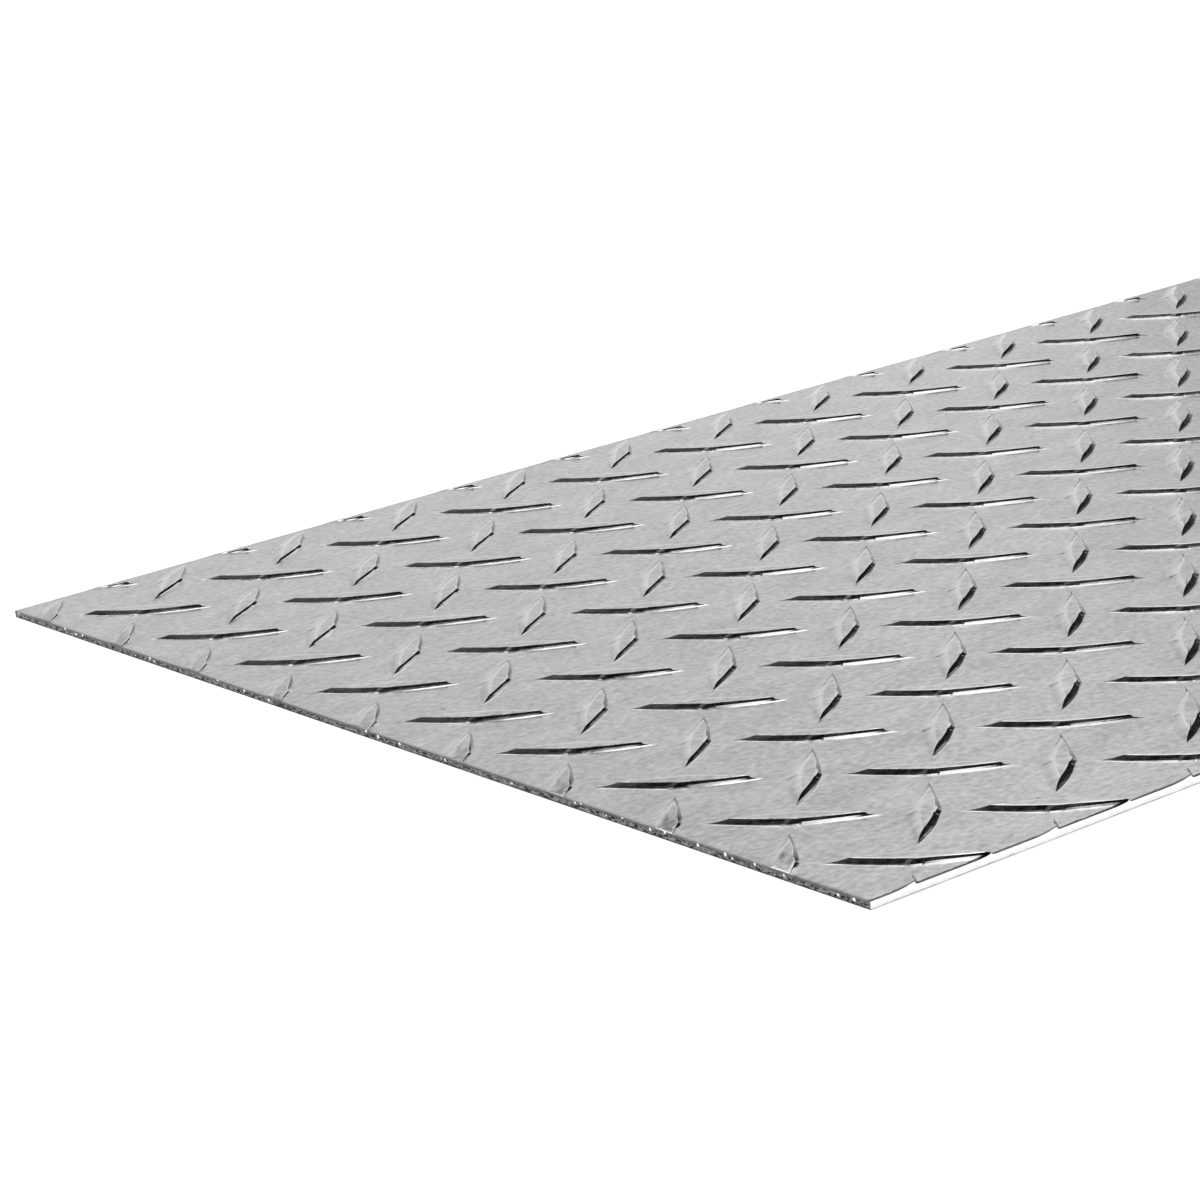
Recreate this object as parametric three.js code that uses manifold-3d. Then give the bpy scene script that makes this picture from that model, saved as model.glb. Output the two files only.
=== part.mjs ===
// Diamond-pattern floor plate: one rolled sheet with raised lugs on its top face and a plain underside.
// Millimetres, +Z up. The origin is at the middle of the underside. X runs along the plate's length,
// which is the rolling direction, and Y across its width.
import * as THREE from "three";
import { ConvexGeometry } from "three/addons/geometries/ConvexGeometry.js";
import { mergeVertices } from "three/addons/utils/BufferGeometryUtils.js";
import Module from "manifold-3d";

const wasm = await Module();
wasm.setup();

// The sheared blank.
const plateLength = 609.6;
const plateWidth = 304.8;
const sheetThickness = 1.6;

// One lug: a long diamond with bowed flanks at its foot and a straight-sided, flat crest.
const lugLength = 30;
const lugWidth = 5.9;
const lugHeight = 0.77;
const crestLength = 25;
const crestWidth = 3.2;
const flankSegments = 4;

// The pattern: two square grids of lugs, turned opposite ways, the second in the gaps of the first.
const lugPitch = 33.35;
const lugAngle = 45;
const firstLugFromEnd = 18.9;
const firstLugFromSide = 9.2;

// A lug's root is buried in the sheet, so that the two fuse into one body.
const rootDepth = sheetThickness / 2;

// Closed outline, at height z, of a shape with a point at each end and a bow of `segments` straight
// pieces on each side. Two segments make it a plain diamond.
function pointedOutline(length, width, segments, z) {
  const bowRadius = (length * length + width * width) / (4 * width);
  const bowHalfAngle = Math.asin(length / 2 / bowRadius);
  const side = [];
  for (let i = 0; i < segments; i += 1) {
    const angle = bowHalfAngle * (1 - (2 * i) / segments);
    side.push([bowRadius * Math.sin(angle), bowRadius * Math.cos(angle) - bowRadius + width / 2]);
  }
  const outline = [...side, ...side.map(([x, y]) => [-x, -y])];
  return outline.map(([x, y]) => new THREE.Vector3(x, y, z));
}

// A lug lies along X, with its foot at z = 0 and its root below.
function lugGeometry() {
  return new ConvexGeometry([
    ...pointedOutline(lugLength, lugWidth, flankSegments, -rootDepth),
    ...pointedOutline(lugLength, lugWidth, flankSegments, 0),
    ...pointedOutline(crestLength, crestWidth, 2, lugHeight),
  ]);
}

// Centres and directions of all the lugs that touch the plate. The blank is cut from a longer rolled
// sheet, so the pattern runs on over its edges.
function lugPlaces() {
  const places = [];
  const reach = lugLength / 2;
  const addGrid = (firstX, firstY, angle) => {
    const startX = firstX - Math.ceil((firstX + reach) / lugPitch) * lugPitch;
    const startY = firstY - Math.ceil((firstY + reach) / lugPitch) * lugPitch;
    for (let x = startX; x < plateLength + reach; x += lugPitch) {
      for (let y = startY; y < plateWidth + reach; y += lugPitch) {
        places.push({ x: x - plateLength / 2, y: y - plateWidth / 2, angle });
      }
    }
  };
  addGrid(firstLugFromEnd, firstLugFromSide, -lugAngle);
  addGrid(firstLugFromEnd + lugPitch / 2, firstLugFromSide + lugPitch / 2, lugAngle);
  return places;
}

function solidOf(geometry) {
  const bare = geometry.clone();
  bare.deleteAttribute("normal");
  bare.deleteAttribute("uv");
  const merged = mergeVertices(bare, 1e-5);
  return new wasm.Manifold(new wasm.Mesh({
    numProp: 3,
    vertProperties: new Float32Array(merged.attributes.position.array),
    triVerts: new Uint32Array(merged.index.array),
  }));
}

function geometryOf(solid) {
  const mesh = solid.getMesh();
  const geometry = new THREE.BufferGeometry();
  geometry.setAttribute("position", new THREE.BufferAttribute(mesh.vertProperties, 3));
  geometry.setIndex(new THREE.BufferAttribute(mesh.triVerts, 1));
  geometry.computeVertexNormals();
  return geometry;
}

function blank(height) {
  const box = new THREE.BoxGeometry(plateLength, plateWidth, height);
  return box.translate(0, 0, height / 2);
}

function treadPlateGeometry() {
  const lug = lugGeometry();
  const lugs = lugPlaces().map(({ x, y, angle }) => {
    const placed = lug.clone().rotateZ(THREE.MathUtils.degToRad(angle));
    return solidOf(placed.translate(x, y, sheetThickness));
  });
  const sheet = solidOf(blank(sheetThickness));
  const shearedOutline = solidOf(blank(sheetThickness + 2 * lugHeight));
  const rolled = wasm.Manifold.union([sheet, ...lugs]);
  return geometryOf(rolled.intersect(shearedOutline));
}

const steel = new THREE.MeshStandardMaterial({ color: 0xb9b9ba, roughness: 0.38, metalness: 1 });

const treadPlate = new THREE.Mesh(treadPlateGeometry(), steel);
treadPlate.name = "tread_plate";

const object = new THREE.Group();
object.add(treadPlate);

export default object;
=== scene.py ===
import math
from collections import namedtuple

import bmesh
import bpy
from mathutils import Matrix, Vector
from mathutils.geometry import delaunay_2d_cdt


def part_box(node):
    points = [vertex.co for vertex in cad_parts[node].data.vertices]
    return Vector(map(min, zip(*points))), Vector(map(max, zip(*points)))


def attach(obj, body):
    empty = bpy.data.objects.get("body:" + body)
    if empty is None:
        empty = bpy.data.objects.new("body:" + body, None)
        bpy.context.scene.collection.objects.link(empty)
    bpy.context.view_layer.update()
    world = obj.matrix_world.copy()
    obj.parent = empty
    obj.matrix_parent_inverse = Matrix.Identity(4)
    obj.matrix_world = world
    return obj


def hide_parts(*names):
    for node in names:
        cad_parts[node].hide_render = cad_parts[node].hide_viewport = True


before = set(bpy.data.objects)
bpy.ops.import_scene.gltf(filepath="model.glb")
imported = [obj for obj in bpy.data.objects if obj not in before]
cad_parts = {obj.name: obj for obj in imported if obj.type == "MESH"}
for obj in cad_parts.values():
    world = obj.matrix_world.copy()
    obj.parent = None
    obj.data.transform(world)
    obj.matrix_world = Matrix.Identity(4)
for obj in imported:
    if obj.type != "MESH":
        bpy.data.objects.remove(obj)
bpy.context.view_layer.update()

# ---------------------------------------------------------------- driving sizes, in metres
MM = 0.001

sheet_thickness = 1.6 * MM
lug_pitch = 33.35 * MM
lug_angle = math.radians(45)
# The middle of the first lug's root, from the plate's left end and near side.
first_lug_from_end = 18.27 * MM
first_lug_from_side = 9.26 * MM

# One lug, as four forms from its root fillet in to its crest. The rolls leave its quarters unlike:
# the two that face across the plate run out gently onto the sheet, the two that face along it drop
# steeply. Each form has half its length, half its width in the gentle and in the steep quarters,
# its height above the sheet, and the fullness of both: 1 is a straight-sided diamond, 3 a full
# lens. The spur stands out at each side corner, where the quarters meet. The shift is the share of
# the crest's offset from the middle of the root.
Form = namedtuple(
    "Form", "length gentle_width steep_width height gentle_fullness steep_fullness spur shift")
lug_root = Form(17.60 * MM, 3.40 * MM, 3.69 * MM, 0.0, 2.68, 1.08, 0.0, 0.0)
lug_foot = Form(13.60 * MM, 2.69 * MM, 2.16 * MM, 0.32 * MM, 1.05, 2.02, 0.44 * MM, 0.20)
lug_shoulder = Form(12.30 * MM, 1.73 * MM, 1.73 * MM, 0.73 * MM, 1.84, 1.84, 0.23 * MM, 1.0)
lug_crest = Form(10.25 * MM, 0.93 * MM, 0.93 * MM, 0.77 * MM, 1.84, 1.84, 0.0, 1.0)
crest_offset = Vector((0.93 * MM, -0.32 * MM))
# The rings that curve the fillet between the root and the foot, and the one that rounds the crest's
# edge, with its share of the way from the shoulder to the crest, inwards and upwards.
fillet_rings = 3
crest_edge_inwards = 0.5
crest_edge_upwards = 0.78
# Where along a ring's half length its points stand, from the tip to the spur.
station_shares = (1, 0.93, 0.8, 0.62, 0.38)
# How far along the lug the spur keeps its full width and then runs out, on either side.
spur_steep_flat = 0.85 * MM
spur_steep_end = 1.72 * MM
spur_gentle_flat = 1.42 * MM
spur_gentle_end = 1.84 * MM
# The least width of a lug's wall, where its crest leans out over its foot.
least_wall = 0.02 * MM
# The share of painted highlight that lightens the metal along the rounded edge of a crest.
crest_edge_painted_highlight = 0.3
# How far past the plate the rolled sheet runs before it is sheared.
field_margin = 4 * lug_root.length

# Edge form left by the shear: the top edge is drawn down a little, over a wider strip at the ends
# than along the sides, and the lugs are pressed down beside the cut to a share of their height.
end_rollover_width = 0.6 * MM
end_rollover_drop = 0.05 * MM
side_rollover_width = 0.5 * MM
side_rollover_drop = 0.06 * MM
pressed_reach = 5.2 * MM
pressed_share_left = 0.12
pressed_share_right = 0.5
pressed_share_near = 0.75
pressed_share_far = 0.12
# Lines that let the top face bend there, as shares of the rollover's width and of the reach.
rollover_lines = (0.35, 1)
pressed_lines = (0.5, 1)
# The cut face is straight over this share of the thickness from the top. The break below it leans
# in most at a level near the foot, given as a share of the thickness, and less at the foot itself.
burnish_share = 0.42
break_level = 0.12
break_inset = 0.05 * MM
foot_lean = 0.6

# Points nearer to one another than same_point count as one. A shear's cut takes in the points
# nearer than cut_reach, and those nearer than on_cut to it are on the plate's outline.
same_point = 1e-9
cut_reach = 1e-8
on_cut = 1e-7

# The material slots of the plate's mesh.
top_slot, end_slot, side_slot, underside_slot = range(4)

# Camera: which way it looks, at what, and how far off.
camera_azimuth = math.radians(54.82)
camera_elevation = math.radians(15.88)
camera_roll = math.radians(-6.28)
camera_aim = Vector((-0.22007, 0.03694, 0.0016))
camera_distance = 0.83101
camera_lens = 112.66
camera_sensor = 36.0
camera_clip_start = 0.01

# The floor lies a hair under the plate, so that the two faces don't coincide.
floor_half = 4.0
floor_gap = 0.02 * MM
floor_grey = 0.8


# ---------------------------------------------------------------- the plate's mesh
def blended(one, other, share):
    """A form that is a share of the way from one form to the other."""
    return Form(*(a + (b - a) * share for a, b in zip(one, other)))


def lug_rings():
    """The rings of one lug from the outside inwards, each with its share of painted highlight."""
    rings = [(lug_root, 0.0)]
    for step in range(1, fillet_rings + 1):
        share = step / fillet_rings
        ring = blended(lug_root, lug_foot, share)
        rings.append((ring._replace(height=lug_foot.height * share ** 2), 0.0))
    rings.append((lug_shoulder, crest_edge_painted_highlight))
    crest_rise = lug_crest.height - lug_shoulder.height
    crest_edge = blended(lug_shoulder, lug_crest, crest_edge_inwards)
    edge_height = lug_shoulder.height + crest_rise * crest_edge_upwards
    rings.append((crest_edge._replace(height=edge_height), crest_edge_painted_highlight))
    rings.append((lug_crest, 0.0))
    return rings


def lug_outline(form):
    """Points of one ring, lying along X, counter-clockwise from the right-hand tip. The gentle
    quarters are the upper right and the lower left."""
    def steep(x):
        run_out = (spur_steep_end - x) / (spur_steep_end - spur_steep_flat)
        bow = form.steep_width * (1 - (x / form.length) ** form.steep_fullness)
        return bow + form.spur * min(1, max(0, run_out))

    def gentle(x):
        bow = form.gentle_width * (1 - (x / form.length) ** form.gentle_fullness)
        share = (x - spur_gentle_flat) / (spur_gentle_end - spur_gentle_flat)
        share = min(1, max(0, share))
        return bow * share + steep(min(x, spur_gentle_end)) * (1 - share)

    stations = [form.length * share for share in station_shares]
    right = [(x, gentle(x)) for x in (*stations, spur_gentle_end, spur_gentle_flat, 0)]
    left = [(-x, steep(x)) for x in (spur_steep_flat, spur_steep_end, *reversed(stations[1:]))]
    upper = right + left
    lower = [(-x, -y) for x, y in upper]
    return [Vector(point) for point in upper + lower]


def mirrored(outline):
    """The same ring turned over about X, still counter-clockwise from the right-hand tip."""
    turned = [Vector((point.x, -point.y)) for point in outline]
    return turned[:1] + turned[:0:-1]


def level_at(chain, x):
    """The y at which a chain of points, ordered by falling x, passes x."""
    for right, left in zip(chain, chain[1:]):
        if x >= left.x:
            share = (right.x - x) / max(right.x - left.x, same_point)
            return right.y + (left.y - right.y) * share
    return chain[-1].y


def nested(ring, outer):
    """Pulls in the points of a ring that would overhang the next ring outside it."""
    half = len(outer) // 2
    upper = outer[:half + 1]
    lower = [outer[0]] + outer[:half - 1:-1]
    held = []
    for point in ring:
        x = min(outer[0].x - least_wall, max(outer[half].x + least_wall, point.x))
        highest = level_at(upper, x) - least_wall
        lowest = level_at(lower, x) + least_wall
        middle = (highest + lowest) / 2
        y = min(max(highest, middle), max(min(lowest, middle), point.y))
        held.append(Vector((x, y)))
    return held


def lug_places(low, high):
    """Centre and angle of each lug that reaches the plate between its low and high corners."""
    reach = lug_root.length
    places = []
    for shift, angle in ((0, -lug_angle), (lug_pitch / 2, lug_angle)):
        first_x = low.x + first_lug_from_end + shift
        first_y = low.y + first_lug_from_side + shift
        start_x = first_x - math.ceil((first_x - low.x + reach) / lug_pitch) * lug_pitch
        start_y = first_y - math.ceil((first_y - low.y + reach) / lug_pitch) * lug_pitch
        columns = math.ceil((high.x + reach - start_x) / lug_pitch)
        rows = math.ceil((high.y + reach - start_y) / lug_pitch)
        for i in range(columns + 1):
            for j in range(rows + 1):
                centre = Vector((start_x + i * lug_pitch, start_y + j * lug_pitch))
                places.append((centre, angle))
    return places


def add_lug(mesh, centre, angle):
    """Adds one lug's rings and crest, and returns the corners of its outer ring."""
    turn = Matrix.Rotation(angle, 2)
    offset = turn.transposed() @ crest_offset
    rings = []
    outline = None
    layer = mesh.verts.layers.float["painted_highlight"]
    for form, painted_highlight in lug_rings():
        outside = outline
        outline = lug_outline(form)
        if angle < 0:
            outline = mirrored(outline)
        outline = [point + offset * form.shift for point in outline]
        if outside:
            outline = nested(outline, outside)
        ring = []
        for point in outline:
            place = centre + turn @ point
            vert = mesh.verts.new((place.x, place.y, sheet_thickness + form.height))
            vert[layer] = painted_highlight
            ring.append(vert)
        rings.append(ring)
    count = len(rings[0])
    # Sharp folds run up the lug from its tips and from both ends of each of the spur's run-outs.
    spur_first = len(station_shares)
    folds = {0, spur_first, spur_first + 1, spur_first + 3, spur_first + 4}
    folds |= {(fold + count // 2) % count for fold in folds}
    for outer, inner in zip(rings, rings[1:]):
        for i in range(count):
            j = (i + 1) % count
            mesh.faces.new((outer[i], outer[j], inner[j], inner[i]))
            mesh.edges.get((outer[i], outer[j])).smooth = False
        for fold in folds:
            mesh.edges.get((outer[fold], inner[fold])).smooth = False
    middle = centre + crest_offset
    top = mesh.verts.new((middle.x, middle.y, sheet_thickness + lug_crest.height))
    crest = rings[-1]
    for i in range(count):
        mesh.faces.new((crest[i], crest[(i + 1) % count], top))
    return rings[0]


def add_field(mesh, outer_rings, low, high):
    """Fills the flat sheet between the lugs' outer rings, out to well past the plate's edges."""
    left, right = low.x - field_margin, high.x + field_margin
    near, far = low.y - field_margin, high.y + field_margin
    corners = ((left, near), (right, near), (right, far), (left, far))
    verts = [mesh.verts.new((x, y, sheet_thickness)) for x, y in corners]
    owner = [-1] * len(corners)
    edges = []
    for number, ring in enumerate(outer_rings):
        first = len(verts)
        verts.extend(ring)
        owner.extend([number] * len(ring))
        edges.extend((first + i, first + (i + 1) % len(ring)) for i in range(len(ring)))
    flat = [Vector((v.co.x, v.co.y)) for v in verts]
    points, _, triangles, origins, _, _ = delaunay_2d_cdt(flat, edges, [], 0, same_point)
    if len(points) != len(verts):
        raise RuntimeError("the field between the lugs gained points")
    index = [source[0] for source in origins]
    for triangle in triangles:
        a, b, c = (index[k] for k in triangle)
        if owner[a] == owner[b] == owner[c] and owner[a] >= 0:
            continue
        mesh.faces.new((verts[a], verts[b], verts[c]))


def ease(share):
    """Runs smoothly from 0 to 1."""
    share = min(1, max(0, share))
    return share * share * (3 - 2 * share)


def sheared_height(place, low, high):
    """The height that a point of the rolled sheet's top has once the plate is cut out of it."""
    from_left, from_right = place.x - low.x, high.x - place.x
    from_near, from_far = place.y - low.y, high.y - place.y
    kept = 1
    for inside, share in ((from_left, pressed_share_left), (from_right, pressed_share_right)):
        kept *= share + (1 - share) * min(1, max(0, inside) / pressed_reach)
    for inside, share in ((from_near, pressed_share_near), (from_far, pressed_share_far)):
        kept *= share + (1 - share) * ease(inside / pressed_reach)
    rise = max(0, place.z - sheet_thickness) * kept
    end_share = max(0.0, 1 - min(from_left, from_right) / end_rollover_width)
    side_share = max(0.0, 1 - min(from_near, from_far) / side_rollover_width)
    drop = max(end_rollover_drop * end_share ** 2, side_rollover_drop * side_share ** 2)
    return sheet_thickness + rise - drop


def shear_to_size(mesh, low, high):
    """Cuts the sheet to the plate's outline, presses its lugs down beside the cut, and draws its
    top edge down a little."""
    sides = (
        (Vector((low.x, 0, 0)), Vector((-1, 0, 0)), end_rollover_width),
        (Vector((high.x, 0, 0)), Vector((1, 0, 0)), end_rollover_width),
        (Vector((0, low.y, 0)), Vector((0, -1, 0)), side_rollover_width),
        (Vector((0, high.y, 0)), Vector((0, 1, 0)), side_rollover_width),
    )

    def cut(place, outward, clear_outer):
        geometry = mesh.verts[:] + mesh.edges[:] + mesh.faces[:]
        bmesh.ops.bisect_plane(mesh, geom=geometry, plane_co=place, plane_no=outward,
                               dist=cut_reach, clear_outer=clear_outer)

    for place, outward, _ in sides:
        cut(place, outward, True)
    for place, outward, rollover_width in sides:
        insets = [share * rollover_width for share in rollover_lines]
        insets += [share * pressed_reach for share in pressed_lines]
        for inset in insets:
            cut(place - outward * inset, outward, False)
    for vert in mesh.verts:
        vert.co.z = sheared_height(vert.co, low, high)


def add_edges(mesh, low, high):
    """Makes the sheared sides below the top face's rim, and the plain underside."""
    rim = [edge for edge in mesh.edges if edge.is_boundary]
    for edge in rim:
        edge.smooth = False
    centre = (low + high) / 2

    def column(vert):
        """The points of the cut face under a point of the rim, from the top down."""
        x, y = vert.co.x, vert.co.y
        on_end = min(x - low.x, high.x - x) < on_cut
        on_side = min(y - low.y, high.y - y) < on_cut
        lean = Vector((
            math.copysign(break_inset, centre.x - x) if on_end else 0,
            math.copysign(break_inset, centre.y - y) if on_side else 0, 0))
        straight = Vector((x, y, sheet_thickness * (1 - burnish_share)))
        broken = Vector((x, y, sheet_thickness * break_level)) + lean
        foot = Vector((x, y, 0)) + lean * foot_lean
        return [vert] + [mesh.verts.new(place) for place in (straight, broken, foot)]

    columns = {}
    for edge in rim:
        for vert in edge.verts:
            if vert not in columns:
                columns[vert] = column(vert)
    feet = []
    for edge in rim:
        loop = edge.link_loops[0]
        first = columns[loop.vert]
        second = columns[loop.link_loop_next.vert]
        feet.append((first[-1], second[-1]))
        for row in range(len(first) - 1):
            face = mesh.faces.new((second[row], first[row], first[row + 1], second[row + 1]))
            face.normal_update()
            across_end = abs(face.normal.x) > abs(face.normal.y)
            face.material_index = end_slot if across_end else side_slot
    verts = list(dict.fromkeys(v for pair in feet for v in pair))
    number = {v: i for i, v in enumerate(verts)}
    flat = [Vector((v.co.x, v.co.y)) for v in verts]
    outline = [(number[a], number[b]) for a, b in feet]
    _, _, triangles, origins, _, _ = delaunay_2d_cdt(flat, outline, [], 1, same_point)
    for triangle in triangles:
        a, b, c = (verts[origins[k][0]] for k in triangle)
        face = mesh.faces.new((c, b, a))
        face.material_index = underside_slot
    for a, b in feet:
        mesh.edges.get((a, b)).smooth = False


def make_plate(low, high):
    """The whole plate between its low and high corners. Its cut faces and underside are flat."""
    mesh = bmesh.new()
    mesh.verts.layers.float.new("painted_highlight")
    outer_rings = [add_lug(mesh, centre, angle) for centre, angle in lug_places(low, high)]
    add_field(mesh, outer_rings, low, high)
    shear_to_size(mesh, low, high)
    add_edges(mesh, low, high)
    mesh.normal_update()
    for face in mesh.faces:
        face.smooth = face.material_index == top_slot
    data = bpy.data.meshes.new("tread_plate_fine")
    mesh.to_mesh(data)
    mesh.free()
    plate = bpy.data.objects.new("tread_plate_fine", data)
    bpy.context.scene.collection.objects.link(plate)
    return plate


# ---------------------------------------------------------------- node groups
def add_math(tree, operation, *values):
    """A Math node on values that are numbers or sockets. Gives its output socket."""
    node = tree.nodes.new("ShaderNodeMath")
    node.operation = operation
    for socket, value in zip(node.inputs, values):
        if isinstance(value, (int, float)):
            socket.default_value = value
        else:
            tree.links.new(value, socket)
    return node.outputs[0]


def add_ramp(tree, value, start, end, low=0.0, high=1.0):
    """Takes value from low at start to high at end, smoothly, and holds it outside."""
    node = tree.nodes.new("ShaderNodeMapRange")
    node.interpolation_type = "SMOOTHSTEP"
    node.inputs["From Min"].default_value = start
    node.inputs["From Max"].default_value = end
    node.inputs["To Min"].default_value = low
    node.inputs["To Max"].default_value = high
    tree.links.new(value, node.inputs["Value"])
    return node.outputs["Result"]


def add_noise(tree, position, stretch, size, detail):
    """Noise with features of about `size` metres, drawn out along each axis by `stretch`."""
    scaled = tree.nodes.new("ShaderNodeVectorMath")
    scaled.operation = "DIVIDE"
    scaled.inputs[1].default_value = [size * share for share in stretch]
    tree.links.new(position, scaled.inputs[0])
    node = tree.nodes.new("ShaderNodeTexNoise")
    node.inputs["Scale"].default_value = 1.0
    node.inputs["Detail"].default_value = detail
    tree.links.new(scaled.outputs["Vector"], node.inputs["Vector"])
    return node.outputs["Fac"]


def add_spots(tree, position, spacing, largest, share):
    """Scattered round spots, up to `largest` of the spacing in radius. About `share` of the places
    have one."""
    cells = tree.nodes.new("ShaderNodeTexVoronoi")
    cells.inputs["Scale"].default_value = 1 / spacing
    tree.links.new(position, cells.inputs["Vector"])
    tint = tree.nodes.new("ShaderNodeSeparateColor")
    tree.links.new(cells.outputs["Color"], tint.inputs[0])
    size = add_math(tree, "MULTIPLY", tint.outputs[0], largest)
    near = add_math(tree, "LESS_THAN", cells.outputs["Distance"], size)
    chosen = add_math(tree, "LESS_THAN", tint.outputs[1], share)
    return add_math(tree, "MULTIPLY", near, chosen)


def add_mix(tree, share, one, other):
    """Mixes two colours, given as grey levels or sockets, by the 0 to 1 share in a socket."""
    node = tree.nodes.new("ShaderNodeMix")
    node.data_type = "RGBA"
    # The colour sockets come after those of the node's other kinds, under the same names.
    factor, first, second = (node.inputs[k] for k in (0, 6, 7))
    tree.links.new(share, factor)
    for socket, value in ((first, one), (second, other)):
        if isinstance(value, (int, float)):
            socket.default_value = (value, value, value, 1)
        else:
            tree.links.new(value, socket)
    return node.outputs[2]


def new_group(name, inputs, outputs):
    """An empty node group with a vector Position and the named number inputs and outputs."""
    tree = bpy.data.node_groups.new(name, "ShaderNodeTree")
    tree.interface.new_socket("Position", in_out="INPUT", socket_type="NodeSocketVector")
    for socket_name, value in inputs.items():
        socket = tree.interface.new_socket(
            socket_name, in_out="INPUT", socket_type="NodeSocketFloat")
        socket.default_value = value
    for socket_name in outputs:
        tree.interface.new_socket(socket_name, in_out="OUTPUT", socket_type="NodeSocketFloat")
    return tree, tree.nodes.new("NodeGroupInput"), tree.nodes.new("NodeGroupOutput")


def rolled_grain_group():
    """Marks of rolling, a little drawn out along X: a broad mottle with a finer one over it, and a
    cloudy unevenness."""
    broad_share = 0.68
    tree, given, result = new_group(
        "rolled_grain", {"Streak Strength": 1.0, "Cloud Strength": 1.0}, ("Grain", "Clouds"))
    position = given.outputs["Position"]
    broad = add_noise(tree, position, stretch=(1.2, 1, 1), size=1.5 * MM, detail=4)
    fine = add_noise(tree, position, stretch=(2.4, 1, 1), size=0.6 * MM, detail=2)
    mottle = add_math(tree, "ADD", add_math(tree, "MULTIPLY", broad, broad_share),
                      add_math(tree, "MULTIPLY", fine, 1 - broad_share))
    centred = add_math(tree, "SUBTRACT", mottle, 0.5)
    grain = add_math(tree, "MULTIPLY", centred, given.outputs["Streak Strength"])
    tree.links.new(grain, result.inputs["Grain"])
    cloud = add_noise(tree, position, stretch=(2, 1, 1), size=7 * MM, detail=4)
    centred = add_math(tree, "SUBTRACT", cloud, 0.5)
    clouds = add_math(tree, "MULTIPLY", centred, given.outputs["Cloud Strength"])
    tree.links.new(clouds, result.inputs["Clouds"])
    return tree


def handling_marks_group():
    """Masks for the fine scratches and small pits that bare metal picks up."""
    scratch_turns = (18, -34, 71)
    scratch_width = 0.012
    tree, given, result = new_group(
        "handling_marks", {"Scratch Amount": 0.5, "Pit Amount": 0.5}, ("Scratches", "Pits"))
    position = given.outputs["Position"]
    masks = []
    for turn in scratch_turns:
        turned = tree.nodes.new("ShaderNodeVectorRotate")
        turned.rotation_type = "Z_AXIS"
        turned.inputs["Angle"].default_value = math.radians(turn)
        tree.links.new(position, turned.inputs["Vector"])
        along = turned.outputs["Vector"]
        lines = add_noise(tree, along, stretch=(60, 1, 1), size=0.9 * MM, detail=0)
        where = add_noise(tree, along, stretch=(3, 1, 1), size=11 * MM, detail=1)
        centred = add_math(tree, "ABSOLUTE", add_math(tree, "SUBTRACT", lines, 0.5))
        thin = add_ramp(tree, centred, start=0.0, end=scratch_width, low=1.0, high=0.0)
        here = add_ramp(tree, where, start=0.58, end=0.68)
        masks.append(add_math(tree, "MULTIPLY", thin, here))
    scratch = masks[0]
    for mask in masks[1:]:
        scratch = add_math(tree, "MAXIMUM", scratch, mask)
    scratches = add_math(tree, "MULTIPLY", scratch, given.outputs["Scratch Amount"])
    tree.links.new(scratches, result.inputs["Scratches"])
    spots = add_spots(tree, position, spacing=7 * MM, largest=0.09, share=0.45)
    pits = add_math(tree, "MULTIPLY", spots, given.outputs["Pit Amount"])
    tree.links.new(pits, result.inputs["Pits"])
    return tree


def painted_rim_shade_group():
    """Masks for the strips of painted shade along the plate's cut rim, whose widths are given in
    millimetres and wander a little."""
    tree, given, result = new_group(
        "rim", {"End Width": 1.0, "Side Width": 1.0}, ("Painted End Shade", "Painted Side Shade"))
    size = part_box("tread_plate")[1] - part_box("tread_plate")[0]
    position = given.outputs["Position"]
    wander = add_noise(tree, position, stretch=(1, 1, 1), size=3 * MM, detail=3)
    spread = add_ramp(tree, wander, start=0.25, end=0.75, low=0.7, high=1.3)
    parts = tree.nodes.new("ShaderNodeSeparateXYZ")
    tree.links.new(position, parts.inputs[0])
    for axis, half, width, name in (
            ("X", size.x / 2, "End Width", "Painted End Shade"), ("Y", size.y / 2, "Side Width", "Painted Side Shade")):
        across = add_math(tree, "ABSOLUTE", parts.outputs[axis])
        inside = add_math(tree, "SUBTRACT", half, across)
        reach = add_math(tree, "MULTIPLY", add_math(tree, "MULTIPLY", spread, MM),
                         given.outputs[width])
        share = add_math(tree, "DIVIDE", inside, reach)
        mask = add_ramp(tree, share, start=0.75, end=1.0, low=1.0, high=0.0)
        tree.links.new(mask, result.inputs[name])
    return tree


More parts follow.
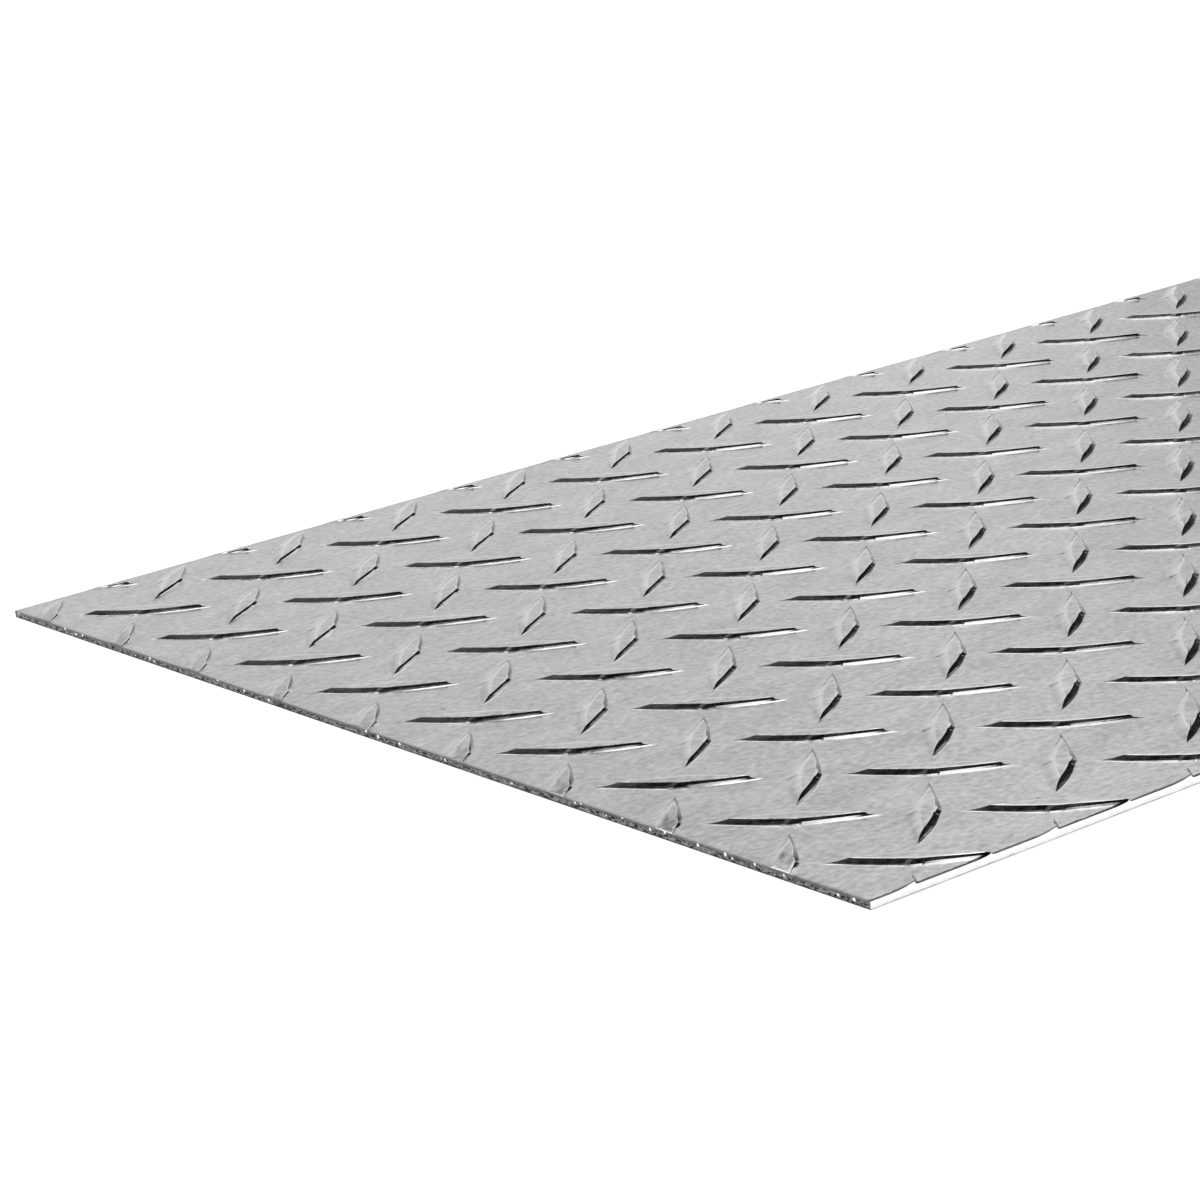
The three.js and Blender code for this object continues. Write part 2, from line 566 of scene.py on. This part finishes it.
def sheared_band_group():
    """Masks up a sheared edge: the torn break below the smooth cut band, the burr at its foot,
    darkened as painted shade, and the flecks, which are painted glints on the dark ends, and how
    the break is torn. The line between cut and break wanders along the edge."""
    tree, given, result = new_group(
        "sheared_band", {"Cut Share": 0.45, "Wander": 0.2, "Fleck Amount": 0.5},
        ("Break", "Shaded Burr", "Flecks", "Tearing"))
    position = given.outputs["Position"]
    parts = tree.nodes.new("ShaderNodeSeparateXYZ")
    tree.links.new(position, parts.inputs[0])
    level = add_math(tree, "DIVIDE", parts.outputs["Z"], sheet_thickness)
    wave = add_noise(tree, position, stretch=(1, 1, 6), size=2.6 * MM, detail=3)
    shift = add_math(tree, "MULTIPLY", add_math(tree, "SUBTRACT", wave, 0.5),
                     given.outputs["Wander"])
    wandering = add_math(tree, "ADD", level, shift)
    cut_foot = add_math(tree, "SUBTRACT", 1.0, given.outputs["Cut Share"])
    above = add_math(tree, "SUBTRACT", wandering, cut_foot)
    broken = add_ramp(tree, above, start=-0.06, end=0.04, low=1.0, high=0.0)
    tree.links.new(broken, result.inputs["Break"])
    # Painted shade along the foot of the cut edge, over the burr.
    shaded_burr = add_ramp(tree, wandering, start=0.06, end=0.16, low=1.0, high=0.0)
    tree.links.new(shaded_burr, result.inputs["Shaded Burr"])
    tears = add_noise(tree, position, stretch=(2.4, 2.4, 1), size=0.42 * MM, detail=3)
    tree.links.new(tears, result.inputs["Tearing"])
    # Flecks that the ends' look turns into painted glints.
    spots = add_spots(tree, position, spacing=1.6 * MM, largest=0.42, share=0.5)
    crowding = add_noise(tree, position, stretch=(1, 1, 1), size=16 * MM, detail=1)
    clusters = add_ramp(tree, crowding, start=0.47, end=0.51)
    upper = add_ramp(tree, level, start=0.35, end=0.45)
    bright = add_math(tree, "MULTIPLY", add_math(tree, "MULTIPLY", spots, clusters), upper)
    flecks = add_math(tree, "MULTIPLY", bright, given.outputs["Fleck Amount"])
    tree.links.new(flecks, result.inputs["Flecks"])
    return tree


# ---------------------------------------------------------------- materials
def new_metal(name):
    """A material with bare metal in it. Gives it with its node tree, its shader and the position
    on the plate."""
    material = bpy.data.materials.new(name)
    material.use_nodes = True
    tree = material.node_tree
    shader = tree.nodes["Principled BSDF"]
    shader.inputs["Metallic"].default_value = 1
    coordinates = tree.nodes.new("ShaderNodeTexCoord")
    return material, tree, shader, coordinates.outputs["Object"]


def place_group(tree, group, position, **values):
    """Puts a node group into a material. An underscore in a value's name is a space in its
    socket's. Gives the group's outputs."""
    node = tree.nodes.new("ShaderNodeGroup")
    node.node_tree = group
    tree.links.new(position, node.inputs["Position"])
    for socket_name, value in values.items():
        node.inputs[socket_name.replace("_", " ")].default_value = value
    return node.outputs


def add_bump(tree, shader, height, distance):
    """Gives the shader a relief of about `distance` metres."""
    bump = tree.nodes.new("ShaderNodeBump")
    bump.inputs["Strength"].default_value = 1
    bump.inputs["Distance"].default_value = distance
    tree.links.new(height, bump.inputs["Height"])
    tree.links.new(bump.outputs["Normal"], shader.inputs["Normal"])


def rolled_face(name, grain_group, marks_group, rim_shade_group, look):
    """Bare rolled sheet: a grey that drifts in a mottle and in clouds, with fine marks on it, a
    painted highlight along the crests' edges and painted shade along the cut rim.
    """
    material, tree, shader, position = new_metal(name)
    grain = place_group(tree, grain_group, position,
                        Streak_Strength=look["streaks"], Cloud_Strength=look["clouds"])
    marks = place_group(tree, marks_group, position,
                        Scratch_Amount=look["scratches"], Pit_Amount=look["pits"])
    drift = add_math(tree, "ADD", grain["Grain"], grain["Clouds"])
    share = add_math(tree, "ADD", drift, 0.5)
    colour = add_mix(tree, share, look["dark"], look["light"])
    colour = add_mix(tree, marks["Scratches"], colour, look["scratch"])
    colour = add_mix(tree, marks["Pits"], colour, look["pit"])
    # Painted highlight: a lighter band along each crest's rounded edge, taken from the vertex
    # attribute.
    crest_highlight = tree.nodes.new("ShaderNodeAttribute")
    crest_highlight.attribute_name = "painted_highlight"
    colour = add_mix(tree, crest_highlight.outputs["Fac"], colour, look["painted crest highlight"])
    # Painted shade: darker strips along the cut rim, near black along the long sides of the top.
    rim = place_group(tree, rim_shade_group, position, End_Width=0.5, Side_Width=0.75)
    colour = add_mix(tree, rim["Painted End Shade"], colour, look["end rim painted shade"])
    colour = add_mix(tree, rim["Painted Side Shade"], colour, look["side rim painted shade"])
    tree.links.new(colour, shader.inputs["Base Color"])
    finish = add_ramp(tree, share, start=0.2, end=0.8, low=look["smooth"], high=look["rough"])
    scratched = add_math(tree, "MULTIPLY", marks["Scratches"], look["scratch roughness"])
    roughness = add_math(tree, "ADD", finish, scratched)
    tree.links.new(roughness, shader.inputs["Roughness"])
    dents = add_math(tree, "SUBTRACT", drift, marks["Pits"])
    add_bump(tree, shader, dents, look["relief"])
    return material


def sheared_face(name, band_group, grain_group, look):
    """A cut edge: smooth where the blade went through, torn below, with a thin burr at its foot
    that is darkened as painted shade. Its looks paint light and shade: near black on the ends as
    painted shade, near white on the sides as painted light."""
    material, tree, shader, position = new_metal(name)
    band = place_group(tree, band_group, position, Cut_Share=look["cut share"],
                       Wander=look["wander"], Fleck_Amount=look["flecks"])
    grain = place_group(tree, grain_group, position, Streak_Strength=1.0, Cloud_Strength=0.6)
    drift = add_math(tree, "ADD", add_math(tree, "ADD", grain["Grain"], grain["Clouds"]), 0.5)
    cut = add_mix(tree, drift, look["cut dark"], look["cut light"])
    torn_share = add_ramp(tree, band["Tearing"], start=0.35, end=0.65)
    torn = add_mix(tree, torn_share, look["torn dark"], look["torn light"])
    colour = add_mix(tree, band["Break"], cut, torn)
    colour = add_mix(tree, band["Flecks"], colour, look["fleck"])
    colour = add_mix(tree, band["Shaded Burr"], colour, look["shaded_burr"])
    tree.links.new(colour, shader.inputs["Base Color"])
    roughness = add_ramp(tree, band["Break"], start=0, end=1,
                         low=look["cut roughness"], high=look["torn roughness"])
    tree.links.new(roughness, shader.inputs["Roughness"])
    height = add_math(tree, "MULTIPLY", band["Tearing"], band["Break"])
    add_bump(tree, shader, height, look["relief"])
    return material


def plate_materials():
    """The materials of the mesh's slots, in their order."""
    grain = rolled_grain_group()
    marks = handling_marks_group()
    band = sheared_band_group()
    edge = painted_rim_shade_group()
    top = {
        "streaks": 2.3, "clouds": 0.8, "scratches": 0.25, "pits": 0.6,
        "dark": 0.25, "light": 0.52, "scratch": 0.5, "pit": 0.12, "painted crest highlight": 0.85,
        "end rim painted shade": 0.33, "side rim painted shade": 0.02,
        "smooth": 0.14, "rough": 0.2, "scratch roughness": 0.1, "relief": 0.004 * MM}
    underside = {
        "streaks": 1.0, "clouds": 1.2, "scratches": 0.8, "pits": 0.8,
        "dark": 0.28, "light": 0.54, "scratch": 0.6, "pit": 0.2, "painted crest highlight": 0.85,
        "end rim painted shade": 0.36, "side rim painted shade": 0.3,
        "smooth": 0.24, "rough": 0.38, "scratch roughness": 0.1, "relief": 0.01 * MM}
    # Painted shade: the ends are near black, and their bright flecks are painted glints.
    end = {
        "cut share": 0.3, "wander": 0.3, "flecks": 1.0,
        "cut dark": 0.02, "cut light": 0.24, "torn dark": 0.0, "torn light": 0.3,
        "fleck": 0.95, "shaded_burr": 0.05, "cut roughness": 0.35, "torn roughness": 0.5,
        "relief": 0.05 * MM}
    # Painted light: the slit sides are near white.
    painted_light_side = {
        "cut share": 0.6, "wander": 0.25, "flecks": 0.5,
        "cut dark": 0.92, "cut light": 0.98, "torn dark": 0.86, "torn light": 0.97,
        "fleck": 0.7, "shaded_burr": 0.4, "cut roughness": 0.36, "torn roughness": 0.42,
        "relief": 0.01 * MM}
    by_slot = {
        top_slot: rolled_face("rolled_steel_top", grain, marks, edge, top),
        end_slot: sheared_face("sheared_end_painted_shade", band, grain, end),
        side_slot: sheared_face("slit_side_painted_light", band, grain, painted_light_side),
        underside_slot: rolled_face("rolled_steel_underside", grain, marks, edge, underside)}
    return [by_slot[slot] for slot in sorted(by_slot)]


# ---------------------------------------------------------------- the studio
def floor_material():
    """White to the camera and to the metal, with the plate's shadow on it, and clear from below."""
    material = bpy.data.materials.new("white_floor")
    material.use_nodes = True
    tree = material.node_tree
    tree.nodes.clear()
    output = tree.nodes.new("ShaderNodeOutputMaterial")
    diffuse = tree.nodes.new("ShaderNodeBsdfDiffuse")
    diffuse.inputs["Color"].default_value = (floor_grey, floor_grey, floor_grey, 1)
    glow = tree.nodes.new("ShaderNodeEmission")
    path = tree.nodes.new("ShaderNodeLightPath")
    seen = add_math(tree, "MAXIMUM", path.outputs["Is Camera Ray"], path.outputs["Is Glossy Ray"])
    tree.links.new(add_math(tree, "MULTIPLY", seen, floor_grey), glow.inputs["Strength"])
    above = tree.nodes.new("ShaderNodeAddShader")
    tree.links.new(diffuse.outputs[0], above.inputs[0])
    tree.links.new(glow.outputs[0], above.inputs[1])
    below = tree.nodes.new("ShaderNodeBsdfTransparent")
    sides = tree.nodes.new("ShaderNodeNewGeometry")
    either = tree.nodes.new("ShaderNodeMixShader")
    tree.links.new(sides.outputs["Backfacing"], either.inputs[0])
    tree.links.new(above.outputs[0], either.inputs[1])
    tree.links.new(below.outputs[0], either.inputs[2])
    tree.links.new(either.outputs[0], output.inputs["Surface"])
    return material


def make_floor():
    corners = [
        (-floor_half, -floor_half, -floor_gap), (floor_half, -floor_half, -floor_gap),
        (floor_half, floor_half, -floor_gap), (-floor_half, floor_half, -floor_gap)]
    floor_data = bpy.data.meshes.new("floor")
    floor_data.from_pydata(corners, [], [(0, 1, 2, 3)])
    floor_data.materials.append(floor_material())
    floor = bpy.data.objects.new("floor", floor_data)
    bpy.context.scene.collection.objects.link(floor)
    return floor


# What the metal reflects: a dark room that is white up to ceiling_start, with panels of light and
# dark flags, each laid over those before it. Angles are in degrees. Azimuths are from the camera's
# heading, positive to its left, and elevations from the horizon. The fades are the widths over
# which a panel's sides, and its upper and lower edges, run out.
room_light = 0.02
wall_light = 1.0
ceiling_start = 27
ceiling_fade = 6
Panel = namedtuple("Panel", "light azimuths elevations fades")
panels = {
    "main soft box": Panel(3.30, (-11, 21), (32, 56), (4, 4)),
    "black flag on the right": Panel(0.02, (-74, -13), (-23, 53), (5, 5)),
    "left soft box, lower edge": Panel(1.22, (48, 72), (29, 51), (8, 6)),
    "black ceiling flag": Panel(0.00, (-29, 43), (59, 101), (6, 6)),
    "grey flag high on the right": Panel(0.12, (-78, -19), (41, 107), (6, 6)),
    "left soft box": Panel(1.24, (47, 121), (33, 78), (8, 6)),
    "grey card low on the right": Panel(0.53, (-28, -9), (1, 14), (6, 5)),
    "flag over the main soft box": Panel(0.13, (-3, 32), (42, 61), (4, 5)),
    "strip under the main soft box": Panel(1.40, (-13, -4), (21, 32), (3, 3)),
    "bright strip at the horizon": Panel(1.20, (-30, -11), (-2, 5), (5, 4)),
    "pale card low on the left": Panel(0.82, (11, 24), (6, 20), (3, 3)),
}


def make_world():
    """White to the camera, and the room with its panels to everything else."""
    world = bpy.data.worlds.new("studio")
    bpy.context.scene.world = world
    world.use_nodes = True
    tree = world.node_tree
    tree.nodes.clear()
    coordinates = tree.nodes.new("ShaderNodeTexCoord")
    turned = tree.nodes.new("ShaderNodeVectorRotate")
    turned.rotation_type = "Z_AXIS"
    turned.inputs["Angle"].default_value = -camera_azimuth
    tree.links.new(coordinates.outputs["Generated"], turned.inputs["Vector"])
    parts = tree.nodes.new("ShaderNodeSeparateXYZ")
    tree.links.new(turned.outputs["Vector"], parts.inputs[0])
    elevation = add_math(tree, "DEGREES", add_math(tree, "ARCSINE", parts.outputs["Z"]))
    heading = add_math(tree, "ARCTAN2", parts.outputs["Y"], parts.outputs["X"])
    azimuth = add_math(tree, "DEGREES", heading)

    def between(value, limits, fade):
        """1 where value is between its limits, falling to 0 over `fade` degrees at each."""
        start, end = limits
        rising = add_ramp(tree, value, start - fade / 2, start + fade / 2)
        falling = add_ramp(tree, value, end + fade / 2, end - fade / 2)
        return add_math(tree, "MULTIPLY", rising, falling)

    def laid_over(below, light, mask):
        """A strength of light where the mask is 1, over what lies below."""
        mix = tree.nodes.new("ShaderNodeMix")
        mix.inputs["B"].default_value = light
        tree.links.new(mask, mix.inputs["Factor"])
        if isinstance(below, (int, float)):
            mix.inputs["A"].default_value = below
        else:
            tree.links.new(below, mix.inputs["A"])
        return mix.outputs["Result"]

    half_fade = ceiling_fade / 2
    walls = add_ramp(tree, elevation, ceiling_start + half_fade, ceiling_start - half_fade)
    reflected = laid_over(room_light, wall_light, walls)
    for panel in panels.values():
        azimuth_fade, elevation_fade = panel.fades
        mask = add_math(tree, "MULTIPLY", between(azimuth, panel.azimuths, azimuth_fade),
                        between(elevation, panel.elevations, elevation_fade))
        reflected = laid_over(reflected, panel.light, mask)

    path = tree.nodes.new("ShaderNodeLightPath")
    background = tree.nodes.new("ShaderNodeBackground")
    background.inputs["Color"].default_value = (1, 1, 1, 1)
    shown = laid_over(reflected, 1.0, path.outputs["Is Camera Ray"])
    tree.links.new(shown, background.inputs["Strength"])
    output = tree.nodes.new("ShaderNodeOutputWorld")
    tree.links.new(background.outputs[0], output.inputs["Surface"])


def make_camera():
    """The camera of the main view, a little rolled."""
    data = bpy.data.cameras.new("camera")
    data.lens = camera_lens
    data.sensor_width = camera_sensor
    data.sensor_fit = "HORIZONTAL"
    data.clip_start = camera_clip_start
    camera = bpy.data.objects.new("camera", data)
    bpy.context.scene.collection.objects.link(camera)
    look = Vector((
        math.cos(camera_elevation) * math.cos(camera_azimuth),
        math.cos(camera_elevation) * math.sin(camera_azimuth),
        -math.sin(camera_elevation)))
    right = look.cross(Vector((0, 0, 1))).normalized()
    up = right.cross(look)
    upright = Matrix((right, up, -look)).transposed()
    rolled = upright @ Matrix.Rotation(camera_roll, 3, "Z")
    camera.matrix_world = Matrix.LocRotScale(camera_aim - look * camera_distance, rolled, None)
    bpy.context.scene.camera = camera


# ---------------------------------------------------------------- the scene
low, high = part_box("tread_plate")
plate = make_plate(low, high)
for material in plate_materials():
    plate.data.materials.append(material)
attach(plate, "root")
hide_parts("tread_plate")

floor = make_floor()
make_world()
make_camera()
bpy.context.scene.view_settings.view_transform = "Standard"
